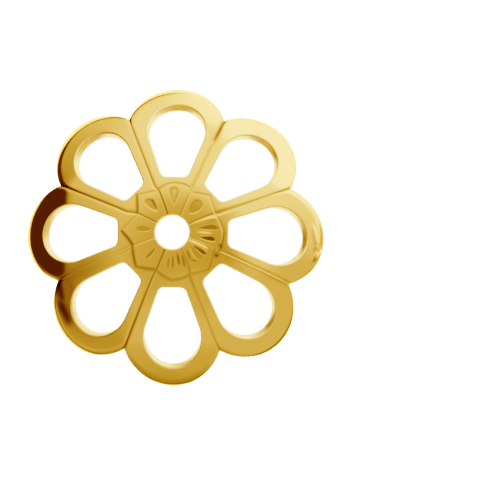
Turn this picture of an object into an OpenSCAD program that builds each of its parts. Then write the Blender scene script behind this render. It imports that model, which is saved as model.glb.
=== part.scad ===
// A bead cap stamped from one piece of gold-coloured sheet metal, in millimetres.
// Eight pierced petals stand round a small rosette with a thread hole at the apex.
// The cap rests on its petal tips. The origin is the centre of the plane they touch,
// +Z runs up through the thread hole, and +X runs through the middle of a petal.

/* [Cap] */
// Distance across two opposite petal tips
cap_d = 10; // [9.6:0.1:10.4]
// Thickness of the sheet
sheet_t = 0.28; // [0.24:0.01:0.32]
// Radius of the curve that the outer face is pressed to, seen from the side
form_r = 5.75; // [5.6:0.05:5.9]
// Distance from the cap's axis to the centre of that curve
form_out = 0.55; // [0.45:0.05:0.65]

/* [Thread hole] */
// Diameter of the hole at the apex
hole_d = 1.1; // [1:0.05:1.2]

/* [Petals] */
// Radius of each petal's round outline, measured along the sheet
petal_r = 1.66; // [1.62:0.02:1.72]
// Width of the band of metal round a petal's tip
band_w = 0.82; // [0.7:0.02:0.94]
// Angle from the cap's axis at which the openings are punched
punch_tilt = 32; // [30:1:35]
// Length of each opening
window_l = 2.9; // [2.8:0.02:3]
// Radius of an opening's round outer end
window_r = 0.97; // [0.9:0.01:0.98]
// Width of an opening's straight inner end, with its two corners
window_in_w = 0.95; // [0.85:0.05:1]
// Radius of the two corners at the inner end
window_corner_r = 0.18; // [0.12:0.02:0.22]

/* [Creases] */
// Depth of the V-shaped crease between two petals
crease_depth = 0.05; // [0.03:0.01:0.07]
// Width of a crease where it meets the outer face
crease_w = 0.11; // [0.08:0.01:0.14]

/* [Rosette] */
// Height of the rosette's plates above the sheet
plate_h = 0.05; // [0.03:0.01:0.07]
// Distance from the axis to a plate's point, on the middle line of its petal
plate_tip_r = 1.64; // [1.58:0.02:1.68]
// Distance from the axis to a plate's outer corners, on the creases
plate_corner_r = 1.37; // [1.3:0.01:1.4]
// Depth of the teardrop dent in each plate
dent_depth = 0.07; // [0.06:0.01:0.08]
// Radius of the dent's round outer end
dent_r = 0.17; // [0.14:0.01:0.19]
// Distance from the axis to the centre of that end
dent_out = 1.1; // [1.06:0.02:1.14]
// Distance from the axis to the dent's inner point
dent_in = 0.74; // [0.7:0.02:0.8]

/* [Hidden] */
$fn = 96;

petals = 8;
sector = 360 / petals;
half_sector = sector / 2;

// Angle of a petal's tip from the vertical, seen from the centre of its curve
tip_angle = asin((cap_d / 2 - form_out) / form_r);
// Height of that centre that puts the tips' lower edges at zero
form_z = -(form_r - sheet_t) * cos(tip_angle);

// The petal's outline is a cone with its point at the curve's centre,
// so the cut edge stands square to the sheet
petal_half_angle = asin(petal_r / form_r);
petal_axis_angle = tip_angle - petal_half_angle;
cone_from = 0.8 * form_r;
cone_to = 1.1 * form_r;

// Radius of the middle of the cap, inside the rounded outlines
core_r = cap_d * 0.3;
// Radius and height that reach past the whole cap
reach = cap_d;

// Places along an opening, measured from the punch's line through the curve's centre
window_tip = form_r * sin(tip_angle - punch_tilt - band_w / form_r * 180 / PI);
window_round_at = window_tip - window_r;
window_corner_at = window_tip - window_l + window_corner_r;
window_corner_off = window_in_w / 2 - window_corner_r;
// Start and end of the punch's path through the sheet
punch_from = 0.8 * form_r;
punch_to = 1.1 * form_r;

// Angles above the horizontal at which a crease starts and ends
crease_from = 42;
crease_to = 91;

// Half the angle between the tangents from the dent's point to its round end
dent_slope = asin(dent_r / (dent_out - dent_in));

function polar(r, angle) = [r * cos(angle), r * sin(angle)];

// Angle, from the first centre's x axis, of the radius that meets the outer
// tangent of two circles on its left side
function tangent_angle(from, to, from_r, to_r) =
    atan2(to[1] - from[1], to[0] - from[0]) + acos((from_r - to_r) / norm(to - from));

// Puts its children once on each petal
module each_petal() {
    for (i = [0 : petals - 1])
        rotate([0, 0, i * sector])
            children();
}

// Domed band between two curves that share the sheet's centre, without its middle
module dome(outer_r, inner_r) {
    middle = hole_d / 4;
    rotate_extrude()
        intersection() {
            translate([form_out, form_z])
                difference() {
                    circle(r = outer_r);
                    circle(r = inner_r);
                }
            translate([middle, 0])
                square([reach, reach]);
        }
}

// Everything inside the petals' round outlines, and the middle of the cap
module cap_outline() {
    each_petal()
        translate([form_out, 0, form_z])
            rotate([0, petal_axis_angle, 0])
                translate([0, 0, cone_from])
                    cylinder(
                        h = cone_to - cone_from,
                        r1 = cone_from * tan(petal_half_angle),
                        r2 = cone_to * tan(petal_half_angle)
                    );
    cylinder(h = reach, r = core_r);
}

// Flat outline of a petal's opening: a round outer end and two small inner corners
module window_shape() {
    round_end = [window_round_at, 0];
    corner = [window_corner_at, window_corner_off];
    side = tangent_angle(corner, round_end, window_corner_r, window_r);
    on_corner = corner + polar(window_corner_r, side);
    on_round = round_end + polar(window_r, side);
    inner = window_corner_at - window_corner_r;
    translate(round_end)
        circle(r = window_r);
    for (y = [-window_corner_off, window_corner_off])
        translate([window_corner_at, y])
            circle(r = window_corner_r);
    polygon([
        on_round,
        on_corner,
        [inner, window_corner_off],
        [inner, -window_corner_off],
        [on_corner[0], -on_corner[1]],
        [on_round[0], -on_round[1]]
    ]);
}

module window_punch() {
    translate([form_out, 0, form_z])
        rotate([0, punch_tilt, 0])
            translate([0, 0, punch_from])
                linear_extrude(height = punch_to - punch_from)
                    window_shape();
}

// Raised plates of the rosette, a point on each petal's middle line
module rosette() {
    outline = [
        for (i = [0 : petals - 1])
            for (corner = [0, 1])
                polar(corner == 0 ? plate_tip_r : plate_corner_r, i * sector + corner * half_sector)
    ];
    intersection() {
        dome(form_r + plate_h, form_r - sheet_t / 2);
        linear_extrude(height = reach)
            polygon(outline);
    }
}

// Teardrop that is sunk into a plate, with a floor parallel to the sheet
module dent() {
    on_round = polar(dent_r, 90 + dent_slope);
    intersection() {
        linear_extrude(height = reach)
            translate([dent_out, 0]) {
                circle(r = dent_r);
                polygon([[dent_in - dent_out, 0], [on_round[0], -on_round[1]], on_round]);
            }
        dome(form_r + 2 * plate_h, form_r + plate_h - dent_depth);
    }
}

// V-shaped ring segment that cuts the crease on the left side of the petal along +X
module crease() {
    rotate([0, 0, half_sector])
        translate([form_out, 0, form_z])
            rotate([90, 0, 0])
                rotate([0, 0, crease_from])
                    rotate_extrude(angle = crease_to - crease_from)
                        polygon([
                            [form_r - crease_depth, 0],
                            [form_r + crease_depth, -crease_w],
                            [form_r + crease_depth, crease_w]
                        ]);
}

module thread_hole() {
    cylinder(h = reach, d = hole_d);
}

module bead_cap() {
    color("gold")
        difference() {
            union() {
                intersection() {
                    dome(form_r, form_r - sheet_t);
                    cap_outline();
                }
                rosette();
            }
            each_petal() window_punch();
            each_petal() dent();
            each_petal() crease();
            thread_hole();
        }
}

bead_cap();
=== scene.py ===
import math

import bmesh
import bpy
import numpy as np
from mathutils import Matrix, Vector


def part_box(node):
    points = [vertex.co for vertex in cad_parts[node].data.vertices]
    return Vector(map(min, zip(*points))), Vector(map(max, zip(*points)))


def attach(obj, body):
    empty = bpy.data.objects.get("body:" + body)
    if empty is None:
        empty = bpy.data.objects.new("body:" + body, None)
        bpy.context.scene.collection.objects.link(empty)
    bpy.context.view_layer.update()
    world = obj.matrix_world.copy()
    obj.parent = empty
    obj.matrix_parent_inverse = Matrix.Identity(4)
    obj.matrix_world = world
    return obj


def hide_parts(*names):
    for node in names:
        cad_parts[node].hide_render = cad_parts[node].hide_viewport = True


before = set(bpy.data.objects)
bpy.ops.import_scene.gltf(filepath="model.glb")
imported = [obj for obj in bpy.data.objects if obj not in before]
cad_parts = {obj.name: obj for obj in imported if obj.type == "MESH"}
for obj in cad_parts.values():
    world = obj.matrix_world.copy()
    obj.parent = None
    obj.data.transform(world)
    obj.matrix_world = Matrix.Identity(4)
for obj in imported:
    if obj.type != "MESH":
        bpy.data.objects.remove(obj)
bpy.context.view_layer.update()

# A bead cap stamped from gold-coloured sheet. One mesh, with the marks and the faults of
# the photographed cap, stands for its solid. Lengths are in millimetres until it is made
MM = 0.001
# Petals are numbered anticlockwise, from the one on the right
PETALS = 8
SECTOR = math.tau / PETALS
HALF = SECTOR / 2

# Distance from the axis to a petal's tip, as wide as the CAD model
CAP_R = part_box("bead_cap")[1].x / MM
SHEET_T = 0.28

# Each petal is pressed to a curve of its own, whose centre stands off the axis, and
# has only a share of that curve across its length
FORM_R = 6.3
FORM_OUT = 0.55
ACROSS = 0.5
# Its outer part is bent down a little more, by a slope that grows over BEND_W
BEND_X = 3.55
BEND_W = 0.3
BEND_SLOPE = 0.15
# The rim curls down over its last stretch, but not where the petal is still narrow
CURL_DROP = 0.09
CURL_W = 0.2
CURL_FROM_X = 2.3
CURL_FULL_X = 3.1

# Plan outlines: a petal is a circle, and its opening is drawn round a large circle and
# two small ones
PETAL_R = 1.7294
PETAL_X = CAP_R - PETAL_R
WINDOW_R = 0.96
WINDOW_X = 3.485
CORNER_R = 0.2177
CORNER_X = 2.088
CORNER_Y = 0.278
BORE_R = 0.57

# Rounding of the cut edges on the outer and on the inner face
OUTER_ROUND = 0.05
INNER_ROUND = 0.025
OUTER_ROUND_STEPS = 5
INNER_ROUND_STEPS = 2

# Rosette of raised plates, struck a little off the bore
ROSETTE_SHIFT = (0.06, 0.07)
PLATE_H = 0.006
PLATE_BEVEL = 0.06
# Distances from the axis between which the rosette's grooves join the creases
JOIN_FROM = 1.3
JOIN_TO = 1.72

# Creases and the rosette's grooves: a wide V, a fine line at its foot and a ridge there.
# The last is the fine line round the plates
CREASE_DEPTH = 0.02
CREASE_HALF_W = 0.12
LINE_DEPTH = 0.005
GROOVE_W = 0.032
RIDGE_H = 0.012
RIDGE_W = 0.03
EDGE_LINE_W = 0.042

# How each crease is struck, anticlockwise from the one above the right petal: depth of
# its V as a share, strength of the shade painted into its fine line and that line's half
# width, strength of the shade painted into the rosette's groove that leads to it, and
# height of its ridge as a share
CREASES = (
    (1.0, 0.42, 0.045, 0.35, 0.0),
    (1.0, 0.30, 0.065, 0.20, 0.0),
    (1.0, 0.60, 0.032, 0.80, 0.0),
    (1.3, 0.70, 0.038, 0.55, 0.1),
    (1.0, 0.25, 0.060, 0.10, 1.4),
    (0.9, 0.65, 0.032, 0.60, 0.0),
    (0.6, 0.32, 0.035, 0.30, 0.0),
    (1.0, 0.55, 0.080, 0.10, 1.6),
)
# Outline of each plate: distance from the rosette's middle to its clockwise corner, its
# tip and its other corner, how far its edges swell between them, and how strong the
# painted shade in the line along it is on its clockwise and its other half
PLATES = (
    (1.68, 1.70, 1.50, 0.03, 0.50, 0.35),
    (1.50, 1.72, 1.36, 0.01, 0.35, 0.45),
    (1.54, 1.62, 1.43, 0.06, 0.60, 0.50),
    (1.43, 1.71, 1.34, 0.00, 0.40, 0.70),
    (1.34, 1.70, 1.46, -0.01, 0.20, 0.75),
    (1.48, 1.67, 1.46, 0.02, 0.65, 0.50),
    (1.46, 1.63, 1.56, 0.04, 0.35, 0.35),
    (1.55, 1.74, 1.50, 0.01, 0.25, 0.30),
)

# Dents in the rosette's plates, one row a stroke of the punch: petal, distance out,
# distance across, half length, half width, depth, turn in radians, share by which its
# inner end is narrower, and strength of the shade painted into its hollow
DENTS = (
    (0, 1.12, -0.29, 0.30, 0.140, 0.014, -0.12, 0.80, 0.75),
    (0, 1.15, 0.07, 0.38, 0.130, 0.005, 0.05, 0.70, 0.45),
    (1, 1.02, 0.04, 0.30, 0.270, 0.006, 0.00, 0.50, 0.24),
    (2, 1.14, 0.02, 0.34, 0.270, 0.006, 0.00, 0.75, 0.26),
    (3, 1.10, -0.02, 0.29, 0.200, 0.009, 0.00, 0.70, 0.26),
    (3, 1.06, -0.10, 0.22, 0.080, 0.006, -0.30, 0.50, 0.60),
    (4, 1.02, 0.00, 0.25, 0.120, 0.005, 0.00, 0.30, 0.26),
    (5, 1.10, 0.04, 0.28, 0.070, 0.008, 0.10, 0.30, 0.38),
    (6, 1.10, -0.16, 0.20, 0.060, 0.004, -0.10, 0.40, 0.25),
    (6, 1.08, -0.01, 0.26, 0.060, 0.008, 0.00, 0.40, 0.38),
    (6, 0.98, 0.16, 0.24, 0.070, 0.008, 0.20, 0.40, 0.55),
    (6, 1.04, 0.33, 0.27, 0.060, 0.006, 0.25, 0.40, 0.40),
    (7, 1.07, 0.00, 0.32, 0.240, 0.010, 0.00, 0.70, 0.16),
    (7, 1.09, 0.14, 0.30, 0.100, 0.012, 0.12, 0.50, 0.70),
)
# Share of a dent over which its floor falls
BOWL_EDGE = 0.5

# Ridges, nicks and streaks of painted shade, one row a line: petal, distance out,
# distance across, half length, half width, height, turn in radians, strength of the
# painted shade. Petal 1.5 is the crease after petal 1
STROKES = (
    (1.5, 3.80, 0.00, 0.62, 0.080, -0.008, 0.00, 1.00),
    (4.5, 3.00, 0.00, 1.15, 0.420, 0.000, 0.00, 0.30),
    (0.5, 3.90, 0.00, 0.42, 0.045, -0.004, 0.00, 0.50),
    (0, 0.81, -0.52, 0.44, 0.055, 0.026, -0.45, 0.00),
    (0, 1.02, 0.31, 0.50, 0.055, 0.018, 0.28, 0.00),
    (0, 1.00, -0.14, 0.30, 0.060, 0.014, -0.12, 0.00),
    (2, 1.10, 0.02, 0.26, 0.030, 0.006, 0.00, 0.00),
    (7, 0.95, -0.24, 0.20, 0.035, -0.004, -0.46, 0.50),
    (7, 1.20, -0.25, 0.14, 0.030, -0.004, 0.59, 0.45),
    (0, 4.68, 0.10, 0.45, 0.050, 0.022, -1.36, 0.00),
    (0, 4.86, 0.14, 0.42, 0.060, 0.000, -1.50, 0.35),
    (0, 4.68, -0.42, 0.16, 0.060, 0.000, -1.45, 0.30),
    (0, 4.67, -0.68, 0.26, 0.035, 0.015, -1.97, 0.00),
    (0, 4.80, -0.34, 0.14, 0.030, 0.016, -1.00, 0.00),
    (0, 4.76, -0.50, 0.16, 0.030, 0.016, 0.85, 0.00),
    (0, 4.69, -0.72, 0.13, 0.055, -0.004, 1.00, 0.75),
    (0, 1.61, -0.46, 0.11, 0.065, 0.000, 1.30, 0.80),
    (7, 1.60, 0.50, 0.10, 0.070, 0.000, 0.80, 0.65),
    (5, 4.08, -1.24, 0.53, 0.105, 0.000, 0.94, 0.70),
    (5, 4.44, -0.72, 0.58, 0.150, 0.000, 1.25, 0.72),
)

# Small faults of the stamping, one row a petal: how far its opening lies along and
# across from its place, and how far its rim does
FAULTS = (
    (0.003, -0.020, 0.000, 0.00),
    (-0.013, -0.016, 0.000, 0.00),
    (-0.022, -0.034, 0.035, 0.02),
    (-0.038, -0.010, 0.050, 0.00),
    (-0.030, 0.040, 0.025, 0.00),
    (-0.011, 0.023, 0.015, 0.00),
    (0.008, 0.027, 0.000, 0.00),
    (0.012, 0.000, 0.000, 0.00),
)
# Share of the way from a crease to a petal's tip over which the rim's fault sets in
RIM_FAULT_IN = 0.6
# How far the bore lies off its place, and the distance from the axis where that ends
BORE_SHIFT = (-0.005, -0.025)
BORE_SHIFT_END = 1.3

# Where the rosette's mesh meets the petals' mesh
SEAM_R = 1.75
# Middle of the rays that join an opening's edge to its petal's outline
RAY_X = 3.1
# Rows of the mesh along a petal's outline, and from one edge of a face to the other
RIM_STEPS = 96
CREASE_STEPS = 40
SEAM_STEPS = 56
BAND_STEPS = 20
ROSETTE_STEPS = 44
INSIDE_STEPS = 4
# Directions in which an opening's outline is worked out
OUTLINE_POINTS = 4000
# Step over which a slope is measured
SLOPE_STEP = 1e-3
# A place closer than this to a crease lies on it, and vertices closer than WELD are one
ON_CREASE = 1e-6
WELD = 1e-4
# What a vertex keeps until it is placed: its place in plan, its way and depth from the
# outer face there, and its shares in the relief and in the faults of opening and rim
VERTEX = np.dtype([
    ("plan", float, 2),
    ("way", float, 3),
    ("depth", float),
    ("relief", float),
    ("window", float),
    ("rim", float),
])

# Gold plate, and how it varies. Scales are per metre
GOLD = (1.0, 0.75, 0.435, 1)
GOLD_WARM = (1.0, 0.73, 0.41, 1)
# Gold in painted shade, for the creases, dents, plate edges and streaks
GOLD_PAINTED_SHADE = (0.5, 0.375, 0.22, 1)
GOLD_CUT = (1.0, 0.81, 0.54, 1)
GOLD_GRAZED = (1.0, 0.84, 0.55, 1)
CLOUD_SCALE = 500.0
CLOUD_DETAIL = 3.0
HAZE_SCALE = 3000.0
HAZE_DETAIL = 4.0
ROUGH_LOW = 0.08
ROUGH_HIGH = 0.15
ROUGH_CUT = 0.4
PEEL_SCALE = 4000.0
PEEL_DETAIL = 2.0
PEEL_HEIGHT = 0.01
BUMP_STRENGTH = 0.15

# Floor's size in metres, and strength and angle, in degrees, of the light on it
FLOOR_SIZE = 0.4
FLOOR_COLOUR = (0.9, 0.9, 0.9, 1)
FLOOR_LIGHT = 8.0
FLOOR_LIGHT_ANGLE = 12

# How the camera sees the cap: turns about x, y and z, in radians, and the place in the
# frame, in pixels, of the middle of the plane that the petal tips touch. Lens and
# sensor are in millimetres
VIEW_TURN = (-0.1042, -0.0589, -0.0212)
FRAME_PX = 500
ORIGIN_PX = (176.4, 238.4)
PX_PER_MM = 29.727
LENS = 400
SENSOR = 36
# Nearest and farthest that the camera sees, as shares of its distance
CLIP_NEAR = 0.1
CLIP_FAR = 100

# Light of the tent, and its parts: azimuth and angle from the camera's line, angles from
# a part's middle where it is full and where it ends, and light. Later parts cover earlier
TENT_LIGHT = 0.96
TENT_PARTS = (
    (65, 75, 25, 85, 1.32),
    (0, 0, 6, 34, 0.85),
    (15, 12, 0, 14, 0.82),
    (275, 15, 5, 15, 0.91),
    (52, 100, 32, 44, 1.65),
    (150, 95, 10, 25, 0.82),
    (200, 75, 12, 44, 0.75),
    (265, 92, 10, 45, 0.86),
    (262, 110, 15, 36, 0.72),
    (196, 80, 12, 26, 0.61),
    (330, 70, 29, 38, 0.95),
    (299, 173, 66, 71, 0.58),
    (5, 114, 14, 24, 1.05),
    (9, 99, 3, 8, 1.60),
    (50, 118, 28, 42, 1.70),
    (299, 173, 58, 63, 1.90),
    (147, 119, 6, 15, 0.42),
    (171, 97, 20, 34, 0.42),
)

# Light that comes out as white, and the points of the contrast curve, light to picture
WHITE = 2.1
CONTRAST = (
    (0.2, 0),
    (0.33, 0.018),
    (0.4, 0.07),
    (0.55, 0.25),
    (0.73, 0.456),
    (0.92, 0.635),
    (1.08, 0.745),
    (1.46, 0.871),
    (WHITE, 1),
)
# Number of the curve that red, green and blue share
SHARED_CURVE = 3


def smooth(value, start, end):
    """0 up to start, 1 from end on, and an even slope between them."""
    t = np.clip((value - start) / (end - start), 0, 1)
    return t * t * (3 - 2 * t)


def line(distance, width):
    """1 on a line, fading away from it."""
    return np.exp(-(distance / width) ** 2)


def unit(vectors):
    return vectors / np.linalg.norm(vectors, axis=-1, keepdims=True)


def arc_points(angles):
    """Points on a circle of radius 1."""
    return np.stack([np.cos(angles), np.sin(angles)], -1)


def turned(points, angle):
    """Points turned about the cap's axis."""
    c, s = math.cos(angle), math.sin(angle)
    x, y, z = points[..., 0], points[..., 1], points[..., 2]
    return np.stack([c * x - s * y, s * x + c * y, z], -1)


def across_crease(side):
    """Level way across the crease on one side of the petal along +X, -1 or 1."""
    return np.array([-math.sin(side * HALF), math.cos(side * HALF), 0])


def form_height(x, y):
    """Height of the petal along +X, before its relief."""
    out = np.hypot(x - PETAL_X, y) - (PETAL_R - CURL_W)
    curl = CURL_DROP * np.clip(out / CURL_W, 0, None) ** 2
    curl = curl * smooth(x, CURL_FROM_X, CURL_FULL_X)
    bent = np.clip((x - BEND_X) / BEND_W, 0, 1)
    bend = BEND_SLOPE * (BEND_W * bent ** 2 / 2 + np.clip(x - BEND_X - BEND_W, 0, None))
    return np.sqrt(FORM_R ** 2 - (x - FORM_OUT) ** 2 - ACROSS * y ** 2) - bend - curl


def form_normal(x, y):
    """Outward direction of that face. On a crease it stays in the crease's own plane."""
    step = SLOPE_STEP
    slope_x = (form_height(x + step, y) - form_height(x - step, y)) / (2 * step)
    slope_y = (form_height(x, y + step) - form_height(x, y - step)) / (2 * step)
    normal = np.stack([-slope_x, -slope_y, np.ones_like(slope_x)], -1)
    for side in (-1, 1):
        across = across_crease(side)
        on_crease = np.abs(x * across[0] + y * across[1]) < ON_CREASE
        normal[on_crease] -= (normal[on_crease] @ across)[:, None] * across
    return unit(normal)


def on_form(plan):
    """Points of the outer face over places in plan, and its directions there."""
    x, y = plan[..., 0], plan[..., 1]
    return np.stack([x, y, form_height(x, y)], -1), form_normal(x, y)


def in_row(x, y, petal, out, across, half_l, half_w, turn):
    """Places as shares of a stroke's half length and half width from its middle."""
    angle = petal * SECTOR
    along = x * math.cos(angle) + y * math.sin(angle) - out
    aside = y * math.cos(angle) - x * math.sin(angle) - across
    u = (along * math.cos(turn) + aside * math.sin(turn)) / half_l
    v = (aside * math.cos(turn) - along * math.sin(turn)) / half_w
    return u, v


def dents_and_strokes(x, y):
    """Height of the dents and the strokes at places on the cap, and the strength of the
    shade painted into them.
    """
    height, darkest = np.zeros_like(x), np.zeros_like(x)
    for petal, out, across, half_l, half_w, depth, turn, taper, dark in DENTS:
        u, v = in_row(x, y, petal, out, across, half_l, half_w, turn)
        v = v / (1 - taper * np.clip((1 - u) / 2, 0, 1))
        bowl = smooth(1 - u ** 2 - v ** 2, 0, BOWL_EDGE)
        height -= depth * bowl
        darkest = np.maximum(darkest, dark * bowl)
    for petal, out, across, half_l, half_w, rise, turn, dark in STROKES:
        u, v = in_row(x, y, petal, out, across, half_l, half_w, turn)
        mark = line(v, 1) * smooth(1 - u ** 2, 0, 1)
        height += rise * mark
        darkest = np.maximum(darkest * (1 - mark), dark * mark)
    return height, darkest


def plate_edge(r, from_middle, petal, second_half):
    """How far places lie outside their petal's plate, and how strong the shade painted
    into the line along its edge is there. They are given by distance from the rosette's
    middle and angle from the petal's."""
    first, tip, second, swell, first_dark, second_dark = np.array(PLATES)[petal % PETALS].T
    corner = np.where(second_half, second, first)
    edge_x, edge_y = corner * math.cos(HALF) - tip, corner * math.sin(HALF)
    length = np.hypot(edge_x, edge_y)
    past_x, past_y = r * np.cos(from_middle) - tip, r * np.sin(from_middle)
    share = np.clip((past_x * edge_x + past_y * edge_y) / length ** 2, 0, 1)
    outside = (past_x * edge_y - past_y * edge_x) / length - 4 * swell * share * (1 - share)
    dark = np.where(second_half, second_dark, first_dark) * line(outside, EDGE_LINE_W)
    return outside, dark


def crease_marks(crease, distance, on_petals):
    """Depth of a crease's V at a distance from it, height of its ridge there as a share,
    and how strong the shade painted into its fine line is."""
    fold, fine, width, groove, ridge = np.array(CREASES)[crease % PETALS].T
    fine = groove + (fine - groove) * on_petals
    width = GROOVE_W + (width - GROOVE_W) * on_petals
    fold = fold * on_petals * CREASE_DEPTH * np.clip(1 - distance / CREASE_HALF_W, 0, 1) ** 2
    ridge = ridge * on_petals * line(distance, RIDGE_W)
    return fold, ridge, fine * (1 - ridge) * line(distance, width)


def relief(x, y):
    """Height of the struck pattern above the sheet, at places on the whole cap, and how
    strong the shade painted into its folds, plate edges, dents and streaks is there."""
    shifted = 1 - smooth(np.hypot(x, y), JOIN_FROM, JOIN_TO)
    x = x - ROSETTE_SHIFT[0] * shifted
    y = y - ROSETTE_SHIFT[1] * shifted
    r = np.hypot(x, y)
    turns = np.arctan2(y, x) / SECTOR % PETALS
    petal = np.round(turns).astype(int)
    from_middle = np.abs(turns - petal) * SECTOR
    from_crease = r * np.sin(HALF - from_middle)
    outside, edge_dark = plate_edge(r, from_middle, petal, turns > petal)
    plate = PLATE_H * smooth(np.minimum(-outside, from_crease), 0, PLATE_BEVEL)
    on_petals = smooth(outside, -PLATE_BEVEL, PLATE_BEVEL)
    fold, ridge, fine = crease_marks(turns.astype(int), from_crease, on_petals)
    # The fine lines are pressed in by LINE_DEPTH, and their shade is painted as well
    mark = np.maximum(fine, edge_dark)
    struck_height, struck_dark = dents_and_strokes(x, y)
    height = plate - fold - LINE_DEPTH * mark + RIDGE_H * ridge + struck_height
    return height, np.maximum(mark, struck_dark)


def window_at(directions):
    """Places on an opening's edge in these directions from the rays' middle, in plan,
    and the way into the metal there."""
    out = arc_points(np.linspace(-math.pi, math.pi, OUTLINE_POINTS))
    centres = np.array([[WINDOW_X, 0], [CORNER_X, CORNER_Y], [CORNER_X, -CORNER_Y]])
    radii = np.array([WINDOW_R, CORNER_R, CORNER_R])
    farthest = np.argmax(out @ centres.T + radii, axis=1)
    edge = centres[farthest] + radii[farthest][:, None] * out
    angle = np.arctan2(edge[:, 1], edge[:, 0] - RAY_X)
    x, y, out_x, out_y = (
        np.interp(directions, angle, values, period=math.tau) for values in (*edge.T, *out.T)
    )
    return np.stack([x, y], -1), unit(np.stack([out_x, out_y], -1))


def edge_frame(plan, into):
    """Points on a cut edge, the face's directions there, and the ways along the face
    into the metal."""
    points, normals = on_form(plan)
    along = np.stack([-into[:, 1], into[:, 0]], -1)
    rise = -(normals[:, :2] * along).sum(-1) / normals[:, 2]
    ways = unit(np.cross(normals, np.column_stack([along, rise])))
    ways *= np.sign((ways[:, :2] * into).sum(-1))[:, None]
    return points, normals, ways


def rim_frame():
    """The same for a petal's outline, whose two ends lie on the creases."""
    valley = PETAL_X * math.cos(HALF) + math.sqrt(PETAL_R ** 2 - (PETAL_X * math.sin(HALF)) ** 2)
    end = math.atan2(valley * math.sin(HALF), valley * math.cos(HALF) - PETAL_X)
    out = arc_points(np.linspace(-end, end, RIM_STEPS + 1))
    plan = np.array([PETAL_X, 0]) + PETAL_R * out
    first_and_last = ((0, -1), (-1, 1))
    for row, side in first_and_last:
        plan[row] = valley * np.array([math.cos(HALF), side * math.sin(HALF)])
    points, normals, ways = edge_frame(plan, -out)
    for row, side in first_and_last:
        mitre = np.cross(normals[row], across_crease(side))
        mitre *= -np.sign(mitre[:2] @ plan[row])
        ways[row] = mitre / abs(mitre @ ways[row])
    return points, normals, ways


def edge_profile():
    """Rows of distance into the metal and depth below the face, down a cut edge, without
    its first and last rows, which belong to the faces."""
    first = np.linspace(0, math.pi / 2, OUTER_ROUND_STEPS + 1)[1:]
    last = np.linspace(0, math.pi / 2, INNER_ROUND_STEPS + 1)[:-1]
    top = zip(OUTER_ROUND * (1 - np.sin(first)), OUTER_ROUND * (1 - np.cos(first)))
    foot = zip(INNER_ROUND * (1 - np.cos(last)), SHEET_T - INNER_ROUND * (1 - np.sin(last)))
    return [*top, *foot]


def spread(steps):
    """Shares from 0 to 1 that lie closer together near both ends."""
    return (1 - np.cos(np.linspace(0, math.pi, steps + 1))) / 2


class Template:
    """Vertices and faces of one petal, before they are placed."""

    def __init__(self):
        self.rows, self.faces, self.count = [], [], 0

    def ring(self, plan, **values):
        """Adds a row of vertices and gives their numbers."""
        row = np.zeros(len(plan), VERTEX)
        row["plan"] = plan
        for name, value in values.items():
            row[name] = value
        self.rows.append(row)
        numbers = np.arange(self.count, self.count + len(row))
        self.count += len(row)
        return numbers

    def chain(self, rows, closed):
        """Faces between each row of vertices and the next."""
        for first, second in zip(rows[:-1], rows[1:]):
            for i in range(len(first) if closed else len(first) - 1):
                j = (i + 1) % len(first)
                self.faces.append((first[i], first[j], second[j], second[i]))

    def face(self, starts, ends, shares, depth, closed, rim=0):
        """Rows of a face from starts to ends in plan, at a depth below the outer face. A
        closed one starts at an opening, which its fault moves."""
        rows = [
            self.ring(
                starts + (ends - starts) * share,
                depth=depth,
                relief=depth == 0,
                window=1 - share if closed else 0,
                rim=rim * share,
            )
            for share in shares
        ]
        self.chain(rows, closed)
        return rows

    def wall(self, first, edge, last, closed, window=0, rim=0):
        """Cut edge between a row of the outer face and a row of the inner face."""
        points, _, ways = edge
        rows = [
            self.ring(
                points[:, :2],
                way=into * ways,
                depth=depth,
                relief=1 - depth / SHEET_T,
                window=window,
                rim=rim,
            )
            for into, depth in edge_profile()
        ]
        self.chain([first, *rows, last], closed)

    def points(self, petal):
        """The vertices at one petal's place, how strong the shade painted on them is, and
        which are on a cut.
        """
        made = np.concatenate(self.rows)
        window_fault, rim_fault = np.split(np.array(FAULTS[petal]), 2)
        plan = made["plan"] + window_fault * made["window"][:, None]
        plan = plan + rim_fault * made["rim"][:, None]
        at, normals = on_form(plan)
        angle = petal * SECTOR
        whole = turned(at, angle)
        height, dark = relief(whole[:, 0], whole[:, 1])
        above = height * made["relief"] - made["depth"]
        points = turned(at + made["way"] + above[:, None] * normals, angle)
        pull = 1 - smooth(np.hypot(points[:, 0], points[:, 1]), BORE_R, BORE_SHIFT_END)
        points[:, :2] += pull[:, None] * BORE_SHIFT
        cut = (made["depth"] > 0) & (made["depth"] < SHEET_T)
        return points, dark * made["relief"], cut


def petal_border(rim):
    """Closed line in plan round a petal's share of the sheet, from one end of its rim."""
    shares = np.linspace(0, 1, CREASE_STEPS + 1)[:, None]
    seam = SEAM_R * arc_points(np.linspace(HALF, -HALF, SEAM_STEPS + 1))
    left = rim[-1] + (seam[0] - rim[-1]) * shares
    right = seam[-1] + (rim[0] - seam[-1]) * shares
    return np.concatenate([rim, left[1:], seam[1:], right[1:-1]])


def build_petal(template):
    """The petal along +X, from the rosette's seam to its rim."""
    rim = rim_frame()
    border = petal_border(rim[0][:, :2])
    window = edge_frame(*window_at(np.arctan2(border[:, 1], border[:, 0] - RAY_X)))
    on_rim = slice(0, RIM_STEPS + 1)
    rim_share = np.zeros(len(border))
    rim_share[on_rim] = smooth(1 - np.abs(np.linspace(-1, 1, RIM_STEPS + 1)), 0, RIM_FAULT_IN)
    sides = []
    for inset, depth, shares in (
        (OUTER_ROUND, 0, spread(BAND_STEPS)),
        (INNER_ROUND, SHEET_T, np.linspace(0, 1, INSIDE_STEPS + 1)),
    ):
        starts = (window[0] + inset * window[2])[:, :2]
        ends = petal_border((rim[0] + inset * rim[2])[:, :2])
        sides.append(template.face(starts, ends, shares, depth, True, rim_share))
    outer, inner = sides
    template.wall(outer[0], window, inner[0], True, window=1)
    template.wall(outer[-1][on_rim], rim, inner[-1][on_rim], False, rim=rim_share[on_rim])


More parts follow.
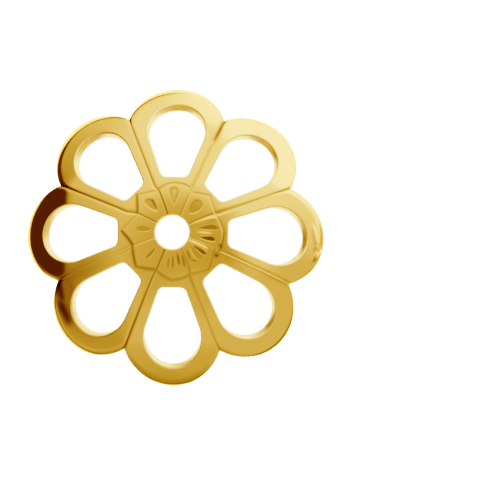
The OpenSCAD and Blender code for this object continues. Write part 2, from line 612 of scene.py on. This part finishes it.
def build_rosette(template):
    """The middle of the cap, over the same petal, from the bore to the seam."""
    out = arc_points(np.linspace(-HALF, HALF, SEAM_STEPS + 1))
    bore = edge_frame(BORE_R * out, out)
    sides = []
    for inset, depth, steps in (
        (OUTER_ROUND, 0, ROSETTE_STEPS),
        (INNER_ROUND, SHEET_T, INSIDE_STEPS),
    ):
        starts = (bore[0] + inset * bore[2])[:, :2]
        shares = np.linspace(0, 1, steps + 1)
        sides.append(template.face(starts, SEAM_R * out, shares, depth, False))
    outer, inner = sides
    template.wall(outer[0], bore, inner[0], False)


def weld(mesh):
    """Joins the petals' meshes where they meet, with all faces turned outwards."""
    work = bmesh.new()
    work.from_mesh(mesh)
    bmesh.ops.remove_doubles(work, verts=work.verts, dist=WELD * MM)
    bmesh.ops.recalc_face_normals(work, faces=work.faces)
    work.to_mesh(mesh)
    work.free()


def cap_mesh():
    """The whole cap: the template put round once for each petal, each time with its own
    part of the struck pattern, and welded along the creases."""
    template = Template()
    build_petal(template)
    build_rosette(template)
    places, shade_amounts, cuts = zip(*(template.points(petal) for petal in range(PETALS)))
    faces = [np.array(template.faces) + petal * template.count for petal in range(PETALS)]
    place = np.concatenate(places)
    place[:, 2] -= place[:, 2].min()
    mesh = bpy.data.meshes.new("bead_cap_metal")
    mesh.from_pydata((place * MM).tolist(), [], np.concatenate(faces).tolist())
    # The mesh keeps the shade painted into creases, dents, plate edges and streaks, and its cut
    # edges
    for name, values in (("painted_shade", shade_amounts), ("cut", cuts)):
        attribute = mesh.attributes.new(name, "FLOAT", "POINT")
        attribute.data.foreach_set("value", np.concatenate(values).astype(np.float32))
    weld(mesh)
    mesh.shade_smooth()
    return mesh


def add_node(tree, kind, inputs, **settings):
    """A node with its settings, and its inputs set to a value or linked to an output."""
    node = tree.nodes.new(kind)
    for name, value in settings.items():
        setattr(node, name, value)
    for name, value in inputs.items():
        if isinstance(value, bpy.types.NodeSocket):
            tree.links.new(value, node.inputs[name])
        else:
            node.inputs[name].default_value = value
    return node


def mix(tree, kind, factor, first, second):
    """Output that goes from first to second as the factor goes from 0 to 1."""
    inputs = {"Factor": factor, "A": first, "B": second}
    return add_node(tree, "ShaderNodeMix", inputs, data_type=kind).outputs["Result"]


def noise(tree, place, scale, detail):
    """Output of a cloudy pattern from 0 to 1."""
    inputs = {"Vector": place, "Scale": scale, "Detail": detail}
    return add_node(tree, "ShaderNodeTexNoise", inputs).outputs["Fac"]


def attribute(tree, name):
    """Output of what the mesh keeps under a name."""
    return add_node(tree, "ShaderNodeAttribute", {}, attribute_name=name).outputs["Fac"]


def gold_colour(tree, place):
    """Gold in two tints, darkened where shade is painted into creases, dents, plate edges
    and streaks, and paler on the cut edges.
    """
    gold = mix(tree, "RGBA", noise(tree, place, CLOUD_SCALE, CLOUD_DETAIL), GOLD, GOLD_WARM)
    # Painted shade: darker gold in the creases, dents, plate edges and streaks
    shaded_gold = mix(tree, "RGBA", attribute(tree, "painted_shade"), gold, GOLD_PAINTED_SHADE)
    return mix(tree, "RGBA", attribute(tree, "cut"), shaded_gold, GOLD_CUT)


def gold_roughness(tree, place):
    """Polish with a faint haze, and duller cut edges."""
    haze = noise(tree, place, HAZE_SCALE, HAZE_DETAIL)
    limits = {"Value": haze, "To Min": ROUGH_LOW, "To Max": ROUGH_HIGH}
    polish = add_node(tree, "ShaderNodeMapRange", limits).outputs["Result"]
    return mix(tree, "FLOAT", attribute(tree, "cut"), polish, ROUGH_CUT)


def gold_bump(tree, place):
    """Faint unevenness of the plating."""
    peel = noise(tree, place, PEEL_SCALE, PEEL_DETAIL)
    inputs = {"Strength": BUMP_STRENGTH, "Distance": PEEL_HEIGHT * MM, "Height": peel}
    return add_node(tree, "ShaderNodeBump", inputs).outputs["Normal"]


def new_material(name):
    """A material, its nodes and its shader."""
    material = bpy.data.materials.new(name)
    material.use_nodes = True
    tree = material.node_tree
    return material, tree, tree.nodes["Principled BSDF"]


def gold_material():
    material, tree, shader = new_material("polished_gold_plate")
    shader.inputs["Metallic"].default_value = 1
    shader.inputs["Specular Tint"].default_value = GOLD_GRAZED
    place = add_node(tree, "ShaderNodeTexCoord", {}).outputs["Object"]
    tree.links.new(gold_colour(tree, place), shader.inputs["Base Color"])
    tree.links.new(gold_roughness(tree, place), shader.inputs["Roughness"])
    tree.links.new(gold_bump(tree, place), shader.inputs["Normal"])
    return material


def floor_material():
    material, _, shader = new_material("pale_floor")
    shader.inputs["Base Color"].default_value = FLOOR_COLOUR
    shader.inputs["Roughness"].default_value = 1
    shader.inputs["Specular IOR Level"].default_value = 0
    return material


def add_object(name, data):
    made = bpy.data.objects.new(name, data)
    bpy.context.scene.collection.objects.link(made)
    return made


def make_cap():
    mesh = cap_mesh()
    mesh.materials.append(gold_material())
    cap = add_object("bead_cap_metal", mesh)
    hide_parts("bead_cap")
    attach(cap, "root")


def make_floor():
    """A pale square that the polished gold doesn't mirror."""
    half = FLOOR_SIZE / 2
    mesh = bpy.data.meshes.new("floor")
    corners = [(-half, -half, 0), (half, -half, 0), (half, half, 0), (-half, half, 0)]
    mesh.from_pydata(corners, [], [(0, 1, 2, 3)])
    mesh.materials.append(floor_material())
    floor = add_object("floor", mesh)
    floor.visible_glossy = False


def make_camera():
    """Looks from the photograph's side. The distance keeps its scale for the long lens."""
    data = bpy.data.cameras.new("camera")
    data.lens = LENS
    data.sensor_width = SENSOR
    camera = add_object("camera", data)
    to_view = Matrix.Identity(3)
    for axis, turn in zip("XYZ", VIEW_TURN):
        to_view = to_view @ Matrix.Rotation(turn, 3, axis)
    facing = to_view.transposed()
    lens_px = FRAME_PX * LENS / SENSOR
    distance = lens_px / PX_PER_MM * MM
    aside = math.atan((ORIGIN_PX[0] - FRAME_PX / 2) / lens_px)
    above = math.atan((FRAME_PX / 2 - ORIGIN_PX[1]) / lens_px)
    aim = Matrix.Rotation(aside, 3, "Y") @ Matrix.Rotation(-above, 3, "X")
    place = facing @ Vector((0, 0, distance))
    camera.matrix_world = Matrix.Translation(place) @ (facing @ aim).to_4x4()
    data.clip_start = distance * CLIP_NEAR
    data.clip_end = distance * CLIP_FAR
    bpy.context.scene.camera = camera
    return facing


def direction(azimuth, angle):
    """Way at an angle from the camera's line, its azimuth anticlockwise from the right."""
    a, t = math.radians(azimuth), math.radians(angle)
    return Vector((math.cos(a) * math.sin(t), math.sin(a) * math.sin(t), math.cos(t)))


def make_tent(facing):
    """A white light tent round the cap, with its brighter and its darker parts."""
    world = bpy.data.worlds.new("light_tent")
    bpy.context.scene.world = world
    world.use_nodes = True
    tree = world.node_tree
    ways = add_node(tree, "ShaderNodeTexCoord", {}).outputs["Generated"]
    light = TENT_LIGHT
    for azimuth, angle, full, end, strength in TENT_PARTS:
        vectors = {0: ways, 1: facing @ direction(azimuth, angle)}
        nearness = add_node(tree, "ShaderNodeVectorMath", vectors, operation="DOT_PRODUCT")
        limits = {
            "Value": nearness.outputs["Value"],
            "From Min": math.cos(math.radians(end)),
            "From Max": math.cos(math.radians(full)),
        }
        patch = add_node(tree, "ShaderNodeMapRange", limits, interpolation_type="SMOOTHSTEP")
        light = mix(tree, "FLOAT", patch.outputs["Result"], light, strength)
    background = tree.nodes["Background"]
    background.inputs["Color"].default_value = (1, 1, 1, 1)
    tree.links.new(light, background.inputs["Strength"])


def make_floor_light(facing):
    """Soft light along the camera's line that whitens the floor, behind the cap as well."""
    data = bpy.data.lights.new("floor_light", "SUN")
    data.energy = FLOOR_LIGHT
    data.angle = math.radians(FLOOR_LIGHT_ANGLE)
    light = add_object("floor_light", data)
    light.matrix_world = facing.to_4x4()
    light.visible_glossy = False


def set_contrast():
    """The photograph's contrast: dark tones fall to black early, bright ones flatten."""
    view = bpy.context.scene.view_settings
    view.view_transform = "Standard"
    view.use_curve_mapping = True
    mapping = view.curve_mapping
    mapping.white_level = (WHITE, WHITE, WHITE)
    points = mapping.curves[SHARED_CURVE].points
    for end in (0, -1):
        light, picture = CONTRAST[end]
        points[end].location = (light / WHITE, picture)
    for light, picture in CONTRAST[1:-1]:
        points.new(light / WHITE, picture)
    mapping.update()


make_cap()
make_floor()
facing = make_camera()
make_tent(facing)
make_floor_light(facing)
set_contrast()
